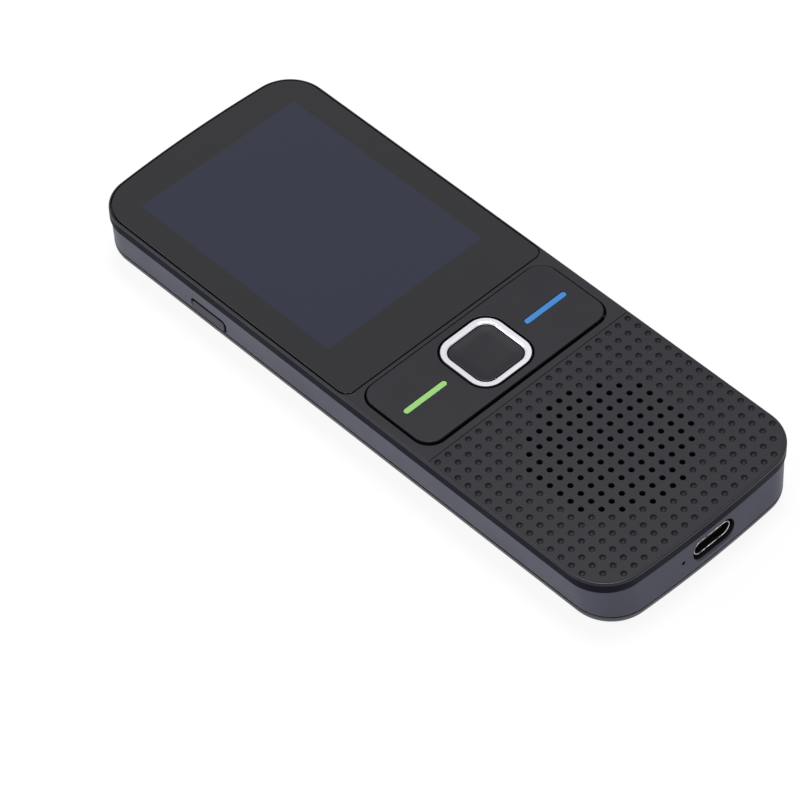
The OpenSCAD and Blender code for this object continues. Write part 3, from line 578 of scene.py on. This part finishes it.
cut(band, [
    slot_cutter("socket_cutter", SLOT_W, SLOT_H, (SOCKET_X, SLOT_Y, SOCKET_Z), "Y", 0.1),
    slot_cutter("mic_cutter", MIC_W, MIC_H, (MIC_X, MIC_Y, SOCKET_Z), "Y", 0.06),
    slot_cutter("key_cutter", KEY_SLOT_L, KEY_SLOT_H, (KEY_SLOT_X, POWER_Y, POWER_Z), "X", 0.06,
                corner=KEY_SLOT_R)])
band.data.materials.append(opening_shade)
for face in band.data.polygons:      # painted shade in the openings at the end
    x, y, z = face.center / MM
    high = abs(z - SOCKET_Z)
    in_end_wall = abs(x) < 8 and y < -62.5 and high < 2.5
    along_slot = abs(face.normal.y) < 0.5 and (high > 2 or abs(face.normal.z) < 0.99)
    if in_end_wall and along_slot:
        face.material_index = 1
place(band, "casing", "middle_band", smooth=30)

# %% [markdown]
# ## Back cover
# The back cover is a shallow tray with a rounded edge, and two round holes for the camera and
# its lamp. A lip inside its edge plugs into the band. A Bevel modifier could round the edge of a
# plate, but lofted rings keep the outline of the band above it exactly.

# %% Back cover
CAMERA, LAMP = (12.5, 56.3), (4.4, 56.3)
COVER_EDGE = COVER_TOP - 0.2         # the open line round the cover is 0.25 mm wide
LIP_TOP, TRAY_FLOOR = 3.6, 1.4
LIP_PLAY, LIP_WALL = 0.05, 0.8       # the lip's gap to the band, and its wall

def cover(inset):
    return body(COVER_W - inset, COVER_L - inset, inset)

def round_hole(centre, r):           # its lip is broken by 0.12 mm
    return [at(circle(*centre, r + g), z)
            for g, z in [(0.12, 0), (0.03, 0.03), (0, 0.12), (0, TRAY_FLOOR)]]

tray = [at(cover(i), d) for i, d in reversed(rounding(1.9, 10))] + [
    at(cover(0), COVER_EDGE - 0.06), at(cover(0.01), COVER_EDGE - 0.03), at(cover(0.05), COVER_EDGE)]

def lip_ring(inset):                 # the lip follows the inside of the band
    return body(INNER_W - LIP_PLAY - inset, INNER_L - LIP_PLAY - inset, INNER_TRIM + inset)

lip_out, lip_in = lip_ring(0), lip_ring(LIP_WALL)
lip_rings = [at(lip_out, COVER_EDGE), at(lip_out, LIP_TOP), at(lip_in, LIP_TOP),
             at(lip_in, TRAY_FLOOR)]
camera_hole, lamp_hole = round_hole(CAMERA, 4.55), round_hole(LAMP, 1.85)
back = loft("back_cover_tray", [tray, lip_rings, camera_hole, lamp_hole], [
    [tray[0], camera_hole[0], lamp_hole[0]], [tray[-1], lip_rings[0]],
    [lip_rings[-1], camera_hole[-1], lamp_hole[-1]]])
back.data.materials.append(cover_abs)
place(back, "casing", "back_cover")

# %% [markdown]
# ## Speaker panel
# The panel is a plate with a square grid of sound holes inside an oval and shallow dimples outside
# it. Boolean cuts for so many holes would be slow and leave ragged shading. Instead, Geometry Nodes
# repeat one moulded hole and one dimple on the points of the grid, and the plate's two faces are
# filled round them, so that every lip is part of one closed skin.

# %% Points of the grid
OVAL_U, OVAL_V = 6.2, 5.8            # half axes of the oval of holes, in steps of the grid
STEPS = 10                           # enough steps to pass the panel's edge each way
MARGIN = 1.25                        # no dimple's middle is nearer to the rim
holes, dimples = [], []
for i in range(-STEPS, STEPS):
    for j in range(-STEPS, STEPS):
        u, v = i + 0.5, j + 0.5
        x, y = u * PITCH, SPEAKER_Y + v * PITCH
        if (v / OVAL_V) ** 2 + (u / OVAL_U) ** 2 <= 1:
            holes.append((x, y))
        elif rim_gap(x, y) > MARGIN and y < DIVIDE_Y - 1:
            dimples.append((x, y))
print("sound holes:", len(holes), "dimples:", len(dimples))

# %% [markdown]
# ### One hole and one dimple
# A hole has a softly broken lip. A dimple has a steep wall and a small round floor, which catches
# a spot of light inside the dark wall. Each has a few dozen faces, since the panel repeats it.

# %% One hole, one dimple and the tree that repeats them
LIP_R = HOLE_R + 0.06

def lathe(name, profile, steps=20):
    rows = [at(circle(0, 0, r, steps), z) for r, z in profile]
    return loft(name, [rows], [[rows[-1]]] if profile[-1][1] > -1 else [])

hole_wall = lathe("one_hole", [(LIP_R, 0), (HOLE_R + 0.015, -0.035), (HOLE_R, -0.09),
                               (HOLE_R, PANEL_SEAT - RIM_TOP)])
dimple_wall = lathe("one_dimple", [(LIP_R, 0), (HOLE_R - 0.02, -0.2), (0.24, -0.42), (0.1, -0.44)])

def repeat_tree():
    tree = bpy.data.node_groups.new("repeat_on_points", "GeometryNodeTree")
    for label, kind in [("Geometry", "Geometry"), ("Shape", "Object"), ("Finish", "Material"),
                        ("Size", "Float")]:
        tree.interface.new_socket(label, in_out="INPUT", socket_type="NodeSocket" + kind)
    tree.interface.new_socket("Geometry", in_out="OUTPUT", socket_type="NodeSocketGeometry")
    given = add(tree, "NodeGroupInput", {}).outputs
    shape = add(tree, "GeometryNodeObjectInfo", {"Object": given["Shape"]})
    spread = add(tree, "GeometryNodeInstanceOnPoints", {
        "Points": given["Geometry"], "Instance": shape.outputs["Geometry"], "Scale": given["Size"]})
    real = add(tree, "GeometryNodeRealizeInstances", {"Geometry": spread.outputs["Instances"]})
    painted = add(tree, "GeometryNodeSetMaterial", {"Geometry": real.outputs["Geometry"],
                                                    "Material": given["Finish"]})
    add(tree, "NodeGroupOutput", {"Geometry": painted.outputs["Geometry"]})
    return tree

repeat = repeat_tree()

def repeated(name, shape, points, material):
    mesh = bpy.data.meshes.new(name)
    mesh.from_pydata([Vector(p) * MM for p in points], [], [])
    obj = bpy.data.objects.new(name, mesh)
    bpy.context.scene.collection.objects.link(obj)
    modifier = obj.modifiers.new("repeat", "NODES")
    modifier.node_group = repeat
    names = {item.name: item.identifier for item in repeat.interface.items_tree
             if item.in_out == "INPUT"}
    modifier[names["Shape"]], modifier[names["Finish"]] = shape, material
    modifier[names["Size"]] = 1.0
    graph = bpy.context.evaluated_depsgraph_get()
    obj.data = bpy.data.meshes.new_from_object(obj.evaluated_get(graph))
    obj.modifiers.clear()
    bpy.data.objects.remove(shape)
    print(name, len(obj.data.polygons), "faces")
    return obj

hole_set = repeated("hole_set", hole_wall, at(holes, RIM_TOP), black_abs)
dimple_set = repeated("dimple_set", dimple_wall, at(dimples, RIM_TOP), black_abs)

# %% Plate of the speaker panel, filled round the holes
def plate(inset):                    # a hair smaller than its opening, with a line at the keys
    return panel(PANEL_HOLE + 0.025 + inset, DIVIDE_Y - 0.12 - inset)

lips = [at(circle(x, y, LIP_R, 20), RIM_TOP) for x, y in holes + dimples]
feet = [at(circle(x, y, HOLE_R, 20), PANEL_SEAT) for x, y in holes]
sides = [at(plate(0), PANEL_SEAT)] + crown(plate, RIM_TOP, 0.01)
both = bmesh.new()
for part in (hole_set, dimple_set):
    both.from_mesh(part.data)
both.to_mesh(hole_set.data)
both.free()
bpy.data.objects.remove(dimple_set)
grille = loft("speaker_panel", [sides], [[sides[0]] + feet, [sides[-1]] + lips], joined=hole_set)
grille.data.materials.append(black_abs)
place(grille, "casing", "grille_panel", smooth=25)

# %% [markdown]
# ## Screen
# The cover glass is a flat plate with a fine ground edge, which shows as a thin light line. Its
# rings follow the same outlines as its opening, so the gap round it stays even at the bowed end.

# %% Screen glass
glass_rings = [at(screen(GLASS_INSET + 0.1), 11.0), at(screen(GLASS_INSET), 11.1)] + crown(
    lambda i: screen(GLASS_INSET + i), GLASS_TOP, 0.09)
glass = loft("cover_glass", [glass_rings], [[glass_rings[0]], [glass_rings[-1]]])
glass.data.materials.append(screen_glass)
place(glass, "casing", "screen_glass")

# %% [markdown]
# ## Rocker and its two bars
# The rocker is a wide plate with soft edges. It has a square hole for the centre key and a slot for
# each coloured bar, which is made in its own colour and pressed in. Painted bars would be simpler,
# but real ones are separate pieces, and the fine dark line round each shows that.

# %% Rocker
KEY_FOOT, BAR_FLOOR, BAR_PLAY = 9.9, 11.6, 0.09
BAR_X, BAR_HALF, BAR_R = 14.9, 4.5, 0.6
RING_HOLE_W, RING_HOLE_R = 14.6, 4.3

def bar(grow, side):
    cx, r = side * BAR_X, BAR_R + grow
    return (arc(cx + BAR_HALF, KEY_Y, r, -pi / 2, pi / 2, 10)
            + arc(cx - BAR_HALF, KEY_Y, r, pi / 2, 1.5 * pi, 10))

def rocker_shape(inset):
    return rounded(ROCKER_W - 2 * inset, ROCKER_L - 2 * inset, ROCKER_R - inset, 0, KEY_Y)

def ring_hole(grow):
    return rounded(RING_HOLE_W + 2 * grow, RING_HOLE_W + 2 * grow, RING_HOLE_R + grow, 0, KEY_Y)

rocker_wall = [at(rocker_shape(0), KEY_FOOT)] + crown(rocker_shape, KEY_TOP, 0.22)
ring_wall = lip(ring_hole, 0.12, KEY_TOP) + [at(ring_hole(0), KEY_FOOT)]
slots = {side: lip(lambda g, side=side: bar(BAR_PLAY + g, side), 0.04, KEY_TOP)
         + [at(bar(BAR_PLAY, side), BAR_FLOOR)] for side in (-1, 1)}
rocker = loft("talk_rocker", [rocker_wall, ring_wall, slots[-1], slots[1]], [
    [rocker_wall[-1], ring_wall[0], slots[-1][0], slots[1][0]],
    [rocker_wall[0], ring_wall[-1]], [slots[-1][-1]], [slots[1][-1]]])
rocker.data.materials.append(key_abs_and_ring_shade)
place(rocker, "rocker", "rocker_key")

for side, name, material, node, slot in [
        (-1, "green_inlay", green_abs, "green_bar", "green_plastic"),
        (1, "blue_inlay", blue_abs, "blue_bar", "blue_plastic")]:
    rings = [at(bar(-0.01, side), BAR_FLOOR)] + crown(
        lambda i: bar(-0.01 - i, side), KEY_TOP - 0.02, 0.08)
    inlay = loft(name, [rings], [[rings[0]], [rings[-1]]])
    inlay.data.materials.append(material)
    place(inlay, "rocker", node)

# %% [markdown]
# ## Centre key and ring
# The ring is rounded on both sides. Its outer rounding and the side under it get the keys' black
# plastic as painted shade, so that a dark line frames it. The cap inside it is slightly dished, so a
# finger finds it. A bump on a flat face could fake the dish, but five shrinking rings cost little
# and are true from every side.

# %% Centre key and ring
RING_W, RING_R, RING_BAND, RING_FOOT = 14.0, 4.0, 1.48, 10.4
CAP_INSET, CAP_TOP, CAP_DIP = RING_BAND + 0.06, KEY_TOP - 0.22, 0.12
FLANGE, FLANGE_LOW, FLANGE_TOP = 0.6, 9.2, 9.6   # its flange, hidden under the rocker

def square(inset):
    return rounded(RING_W - 2 * inset, RING_W - 2 * inset, RING_R - inset, 0, KEY_Y)

ring_out = [at(square(0), RING_FOOT)] + crown(square, KEY_TOP, 0.2)
ring_in = [at(square(RING_BAND - i), KEY_TOP - d) for i, d in reversed(rounding(0.5))] + [
    at(square(RING_BAND), RING_FOOT)]
ring = loft("bright_ring", [ring_out, ring_in], [
    [ring_out[-1], ring_in[0]], [ring_out[0], ring_in[-1]]])
ring.data.materials.append(silver)
ring.data.materials.append(key_abs_and_ring_shade)
for face in ring.data.polygons:      # painted shade: the outer rounding and the side under it are black
    x, y = abs(face.center.x / MM), abs(face.center.y / MM - KEY_Y)
    outside = max(x, y) > 6.5 or x + y > 10.4
    face.material_index = 1 if outside and face.normal.z < 0.995 else 0
place(ring, "centre_button", "centre_key_ring")

cap_rings = [at(square(inset), z) for inset, z in [
    (-FLANGE, FLANGE_LOW), (-FLANGE, FLANGE_TOP), (0, FLANGE_TOP), (0, RING_FOOT),
    (CAP_INSET, RING_FOOT)]] + crown(lambda i: square(CAP_INSET + i), CAP_TOP, 0.25)
for i in range(1, 6):
    k = i / 5
    cap_rings.append(at(square(RING_BAND + 0.35 + 2.0 * k), CAP_TOP - CAP_DIP * sin(k * pi / 2)))
cap = loft("centre_cap", [cap_rings], [[cap_rings[0]], [cap_rings[-1]]])
cap.data.materials.append(key_abs_and_ring_shade)
place(cap, "centre_button", "centre_key")

# %% [markdown]
# ## Side key
# The side key stands a hair out of the band. Its face is a darker grey than the band, while its
# sides get a nearly black painted shade, so a dark line frames it. One loft makes it, and the
# direction in which a face looks tells which finish it gets.

# %% Side key
FACE_X, BACK_X = -24.3, -22.0
KEY_L, KEY_H, KEY_R = 8.5, 2.3, 0.7

def key_ring(inset, x):
    return [(x, POWER_Y + u, POWER_Z + v)
            for u, v in rounded(KEY_L - 2 * inset, KEY_H - 2 * inset, KEY_R - inset)]

key_rings = [key_ring(0, BACK_X)] + [key_ring(i, FACE_X + d) for i, d in rounding(0.15)]
side_key = loft("side_key", [key_rings], [[key_rings[0]], [key_rings[-1]]])
side_key.data.materials.append(key_face_paint)
side_key.data.materials.append(rim_shade_abs)
# painted shade: the key's sides get the nearly black rim finish
for face in side_key.data.polygons:
    face.material_index = 1 if abs(face.normal.x) < 0.5 else 0
place(side_key, "power_button", "power_key")

# %% [markdown]
# ## Charging socket
# The socket's shell is drawn from one sheet, so its mouth is a rounded edge. A thin tongue stands
# inside it and carries a row of gold contacts on each face. A bevelled curve could trace the mouth,
# but rings of points also give the walls and the floor behind it in one closed piece.

# %% Socket shell
SHELL_Y, DEPTH, BACK = -65.5, 7.35, 0.6
SHELL_W, SHELL_H, SHELL_IN_W, SHELL_IN_H = 8.94, 3.26, 8.4, 2.72
EDGE_R = 0.1                         # the mouth's edge

def pill(w, h, y):
    half = (w - h) / 2
    return [(SOCKET_X + u, y, SOCKET_Z + v) for u, v in
            arc(half, 0, h / 2, -pi / 2, pi / 2, 20) + arc(-half, 0, h / 2, pi / 2, 1.5 * pi, 20)]

sheet = [pill(SHELL_W, SHELL_H, SHELL_Y + DEPTH), pill(SHELL_W, SHELL_H, SHELL_Y + 0.2)]
for i in range(9):                   # the mouth turns from the outside to the inside
    a = pi * i / 8
    wall = EDGE_R * (1 - cos(a))
    sheet.append(pill(SHELL_W - 2 * wall, SHELL_H - 2 * wall, SHELL_Y + EDGE_R * (1 - sin(a))))
sheet += [pill(SHELL_IN_W, SHELL_IN_H, SHELL_Y + 0.16), pill(SHELL_IN_W, SHELL_IN_H, SHELL_Y + DEPTH - BACK)]
shell = loft("socket_shell", [sheet], [[sheet[0]], [sheet[-1]]])
shell.data.materials.append(socket_steel)
shell.data.materials.append(black_nylon_and_shade)
for face in shell.data.polygons:     # painted shade: the shell's inside behind its mouth gets black nylon
    x, y, z = face.center / MM
    shaded_inside = abs(z - SOCKET_Z) < 1.42 and abs(x - SOCKET_X) < 4.28 and y > SHELL_Y + 0.11
    face.material_index = 1 if shaded_inside and y < SHELL_Y + DEPTH - 0.1 else 0
place(shell, "casing", "usb_shell")

# %% Tongue and contacts
TONGUE_W, TONGUE_T = 6.6, 0.7
TONGUE_Y, TONGUE_END = SHELL_Y + 0.7, SHELL_Y + DEPTH - BACK
CONTACTS, CONTACT_PITCH = 12, 0.5
PAD_W, PAD_L, PAD_OUT = 0.26, 3.2, 0.375         # out from the tongue's middle, on both faces

def slab(w, t, y):                   # the tongue's section across its length
    return [(SOCKET_X + u, y, SOCKET_Z + v) for u, v in rounded(w, t, 0.12, steps=4)]

tongue_rings = [slab(6.4, 0.5, TONGUE_Y), slab(6.54, 0.64, TONGUE_Y + 0.04),
                slab(TONGUE_W, TONGUE_T, TONGUE_Y + 0.15), slab(TONGUE_W, TONGUE_T, TONGUE_END)]
tongue = loft("socket_tongue", [tongue_rings], [[tongue_rings[0]], [tongue_rings[-1]]])
tongue.data.materials.append(black_nylon_and_shade)
place(tongue, "casing", "usb_tongue")

pad_rings = [at(rounded(PAD_W, PAD_L, 0.06, 0, 0, 2), z) for z in (-PAD_OUT, PAD_OUT)]
pad = loft("one_contact", [pad_rings], [[pad_rings[0]], [pad_rings[1]]])
contacts = repeated("socket_contacts", pad, [
    (SOCKET_X + CONTACT_PITCH * (i - (CONTACTS - 1) / 2), TONGUE_Y + 2.4, SOCKET_Z)
    for i in range(CONTACTS)], gold)
place(contacts, "casing")

# %% [markdown]
# ## Camera and lamp in the back
# A turned ring frames the camera. Behind its clear window a black barrel narrows to a coated lens.
# The lamp's lens has fine rings moulded in its face, which spread the light. Turned parts are
# profiles spun round an axis: the Screw modifier does that, and so do rings of points, which also
# let the barrel grow out of its square foot.

# %% Camera ring and window
def turned(name, centre, profile, material, steps=64):
    """A profile of (radius, height) turned round an upright axis."""
    rows = [at(circle(*centre, r, steps), z) for r, z in profile]
    caps = [] if profile[0] == profile[-1] else [[rows[0]], [rows[-1]]]
    obj = loft(name, [rows], caps)
    obj.data.materials.append(material)
    return obj

bezel = turned("camera_bezel", CAMERA, [
    (3.7, 1.8), (5.5, 1.8), (5.5, 1.4), (4.5, 1.4), (4.5, 0.26), (4.46, 0.17), (4.38, 0.11),
    (4.28, 0.1), (4.05, 0.1), (3.98, 0.11), (3.74, 0.27), (3.7, 0.32), (3.7, 1.8)], ring_grey)
place(bezel, "casing", "camera_ring", smooth=25)

window = turned("camera_window_glass", CAMERA, [
    (3.69, 1.0), (3.69, 0.36), (3.66, 0.31), (3.6, 0.3)], tinted_glass)
place(window, "casing", "camera_window", smooth=30)

# %% Camera barrel and lamp lens
BARREL_W, BARREL_FOOT, LENS_R = 8.5, 1.9, 1.38
BARREL_STEPS = 52                    # as many points as its square foot has
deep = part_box("camera_module")[1][2] / MM
barrel_rings = [at(rounded(BARREL_W, BARREL_W, 0.6, *CAMERA), z) for z in (deep, BARREL_FOOT)]
for r, z in [(3.03, BARREL_FOOT), (3.03, 1.16), (2.97, 1.1), (2.75, 1.1), (2.7, 1.14), (2.3, 1.24),
             (2.25, 1.36), (1.85, 1.44), (1.8, 1.56), (1.4, 1.62), (LENS_R, 1.52), (1.25, 1.44),
             (1.0, 1.36), (0.7, 1.31), (0.35, 1.28)]:
    barrel_rings.append(at(circle(*CAMERA, r, BARREL_STEPS), z))
barrel = loft("camera_barrel", [barrel_rings], [[barrel_rings[0]], [barrel_rings[-1]]])
barrel.data.materials.append(black_nylon_and_shade)
barrel.data.materials.append(lens_coating)
for face in barrel.data.polygons:
    x, y, z = face.center / MM
    in_lens = sqrt((x - CAMERA[0]) ** 2 + (y - CAMERA[1]) ** 2) < LENS_R and z < 1.6
    face.material_index = 1 if in_lens else 0
place(barrel, "casing", "camera_module", smooth=30)

ribs = [(2.4, 1.9), (2.4, 1.4), (1.8, 1.4), (1.8, 0.22), (1.77, 0.15), (1.7, 0.12), (1.55, 0.1)]
for i in range(5):                   # five saw-tooth rings in the lens face
    ribs += [(1.5 - 0.28 * i, 0.1), (1.46 - 0.28 * i, 0.22)]
lamp_lens = turned("lamp_lens", LAMP, ribs + [(0.12, 0.12)], lens_resin, 40)
place(lamp_lens, "casing", "flash_lens", smooth=25)

# %% [markdown]
# ## Stage, lamps and camera
# A pale floor takes the object's shadow. Large soft lamps stand where a product studio has them:
# one high behind the object, one from the left, and a weak one in front. A bright backdrop would
# need strong light that also washes out the object, so the floor and the world only look white to
# the camera and in reflections, and light the object at a plain level.

# %% Floor and world
FLOOR_W, FLOOR_R, FLOOR_Z = 4000, 1900, -0.05
GLOW = 0.9                           # the rest stays plain paper, which keeps the shadow

def seen(tree):                      # 1 where a ray shows the surface instead of lighting with it
    path = add(tree, "ShaderNodeLightPath", {}).outputs
    rays = add(tree, "ShaderNodeMath", {"operation": "MAXIMUM", 0: path["Is Camera Ray"],
                                        1: path["Is Glossy Ray"]})
    rays = add(tree, "ShaderNodeMath", {"operation": "MAXIMUM", 0: rays.outputs[0],
                                        1: path["Is Transmission Ray"]})
    return rays.outputs[0]

floor = loft("floor", [], [[at(rounded(FLOOR_W, FLOOR_W, FLOOR_R, 0, 0, 24), FLOOR_Z)]])

# Matt white paper: it scatters light evenly, shows the soft shadow under the object, and looks
# clean white round it.
paper = bpy.data.materials.new("white_backdrop_paper")
paper.use_nodes = True
tree = paper.node_tree
tree.nodes.remove(tree.nodes["Principled BSDF"])
matte = add(tree, "ShaderNodeBsdfDiffuse", {"Color": srgb("#f4f4f4")})
white = add(tree, "ShaderNodeEmission", {"Color": (1, 1, 1, 1), "Strength": 1.0})
share = add(tree, "ShaderNodeMath", {"operation": "MULTIPLY", 0: seen(tree), 1: GLOW})
mixed = add(tree, "ShaderNodeMixShader", {"Fac": share.outputs[0], 1: matte.outputs[0],
                                          2: white.outputs[0]})
tree.links.new(mixed.outputs[0], tree.nodes["Material Output"].inputs["Surface"])
floor.data.materials.append(paper)

# The world is half as bright where it lights the object, and white where it is seen.
world = bpy.data.worlds.new("studio")
bpy.context.scene.world = world
world.use_nodes = True
tree = world.node_tree
dim = add(tree, "ShaderNodeMix", {"data_type": "RGBA", "Factor": seen(tree),
                                  6: (0.5, 0.5, 0.5, 1), 7: (1, 1, 1, 1)})
tree.links.new(dim.outputs[2], tree.nodes["Background"].inputs["Color"])
print("stage:", floor.name, world.name)

# %% Lamps
def lamp(name, place_at, size, watts, aim=(0, 0, 0.01)):
    data = bpy.data.lights.new(name, "AREA")
    data.shape, data.size, data.energy = "DISK", size, watts
    obj = bpy.data.objects.new(name, data)
    bpy.context.scene.collection.objects.link(obj)
    obj.location = place_at
    obj.rotation_euler = (Vector(aim) - Vector(place_at)).to_track_quat("-Z", "Y").to_euler()
    print("lamp", name, watts, "W")

lamp("high_behind", (0.25, 0.25, 1.5), 0.5, 16)
lamp("left", (-0.42, 0.34, 0.28), 0.34, 1.0)
lamp("front", (-0.1, -1.3, 0.6), 0.8, 0.8)

# %% [markdown]
# ### The view
# A long lens from far away keeps the body's parallel edges nearly parallel, as product views do. A
# constraint could aim the camera at the object, but three axes and a place say the view outright.

# %% Camera
data = bpy.data.cameras.new("camera")
data.lens, data.sensor_width, data.clip_start = 192.687, 36.0, 0.01
camera = bpy.data.objects.new("camera", data)
bpy.context.scene.collection.objects.link(camera)
right = Vector((0.7184084, -0.6953190, -0.0205125))
down = Vector((-0.5338600, -0.5322035, -0.6570790))
ahead = Vector((0.4459628, 0.4830019, -0.7535425))
turn = Matrix((right, -down, -ahead)).transposed().to_4x4()
camera.matrix_world = Matrix.Translation((-0.3514199, -0.3697145, 0.5746258)) @ turn
bpy.context.scene.camera = camera
bpy.context.scene.view_settings.view_transform = "Standard"
print("camera lens", data.lens, "mm")

# %% [markdown]
# ## Last update
# The view layer is brought up to date at the end.

# %% Bring the scene up to date
bpy.context.view_layer.update()
